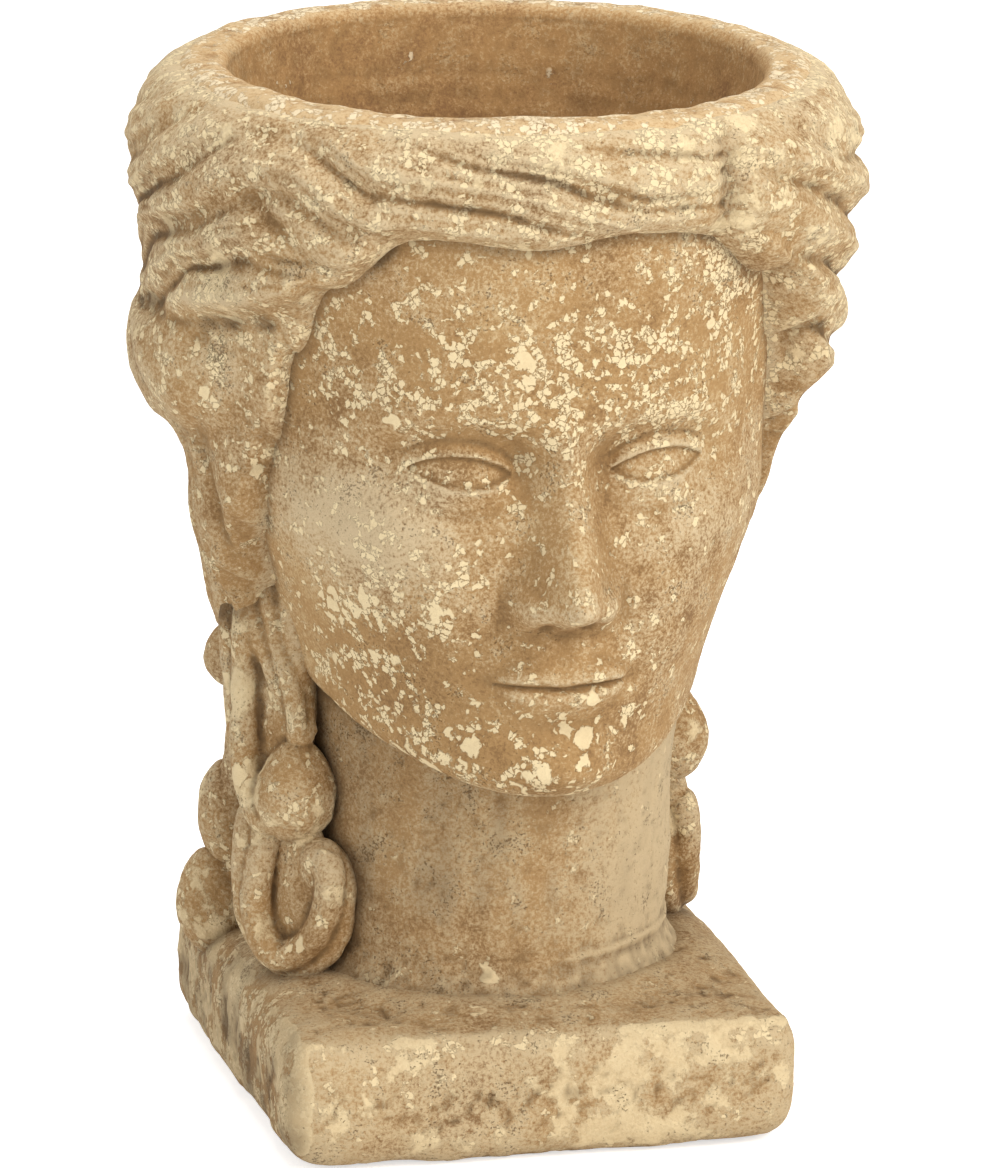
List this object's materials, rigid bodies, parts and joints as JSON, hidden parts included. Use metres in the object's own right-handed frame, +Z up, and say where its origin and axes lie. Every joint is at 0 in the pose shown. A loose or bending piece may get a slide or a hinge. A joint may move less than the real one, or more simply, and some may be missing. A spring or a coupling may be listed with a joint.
{
  "type": "terracotta head planter",
  "caption": "Weathered terracotta planter shaped as a classical head with swept hair and ringlets on a square plinth, with a round pot with a drain hole in its crown.",
  "frame": {"origin": "middle of the planter's bounding box on the ground under the plinth, on the axis of the pot", "axes": "+Z up along the axis of the pot, the face looks along -Y, +X to the viewer's right"},
  "size_m": [0.3007, 0.3068, 0.43],
  "materials": {
    "limewashed_terracotta": "fired clay with flaking cream limewash",
    "weathered_terracotta": "fired clay with worn limewash and dirt",
    "bare_terracotta": "smooth bare fired clay"
  },
  "bodies": {
    "root": {"plinth": "weathered_terracotta", "neck": "weathered_terracotta", "drain_floor": "bare_terracotta", "bowl": "bare_terracotta", "face_half": "limewashed_terracotta", "back_half": "limewashed_terracotta", "hair_front": "limewashed_terracotta", "hair_left": "limewashed_terracotta", "hair_right": "limewashed_terracotta", "hair_back": "limewashed_terracotta", "nape_hair": "limewashed_terracotta", "ringlet_left_front_lower": "limewashed_terracotta", "ringlet_left_front_upper": "limewashed_terracotta", "ringlet_left_rear_lower": "limewashed_terracotta", "ringlet_left_rear_middle": "limewashed_terracotta", "ringlet_left_rear_upper": "limewashed_terracotta", "ringlet_right_front_lower": "limewashed_terracotta", "ringlet_right_front_upper": "limewashed_terracotta", "ringlet_right_rear_lower": "limewashed_terracotta", "ringlet_right_rear_middle": "limewashed_terracotta", "ringlet_right_rear_upper": "limewashed_terracotta"}
  },
  "joints": []
}
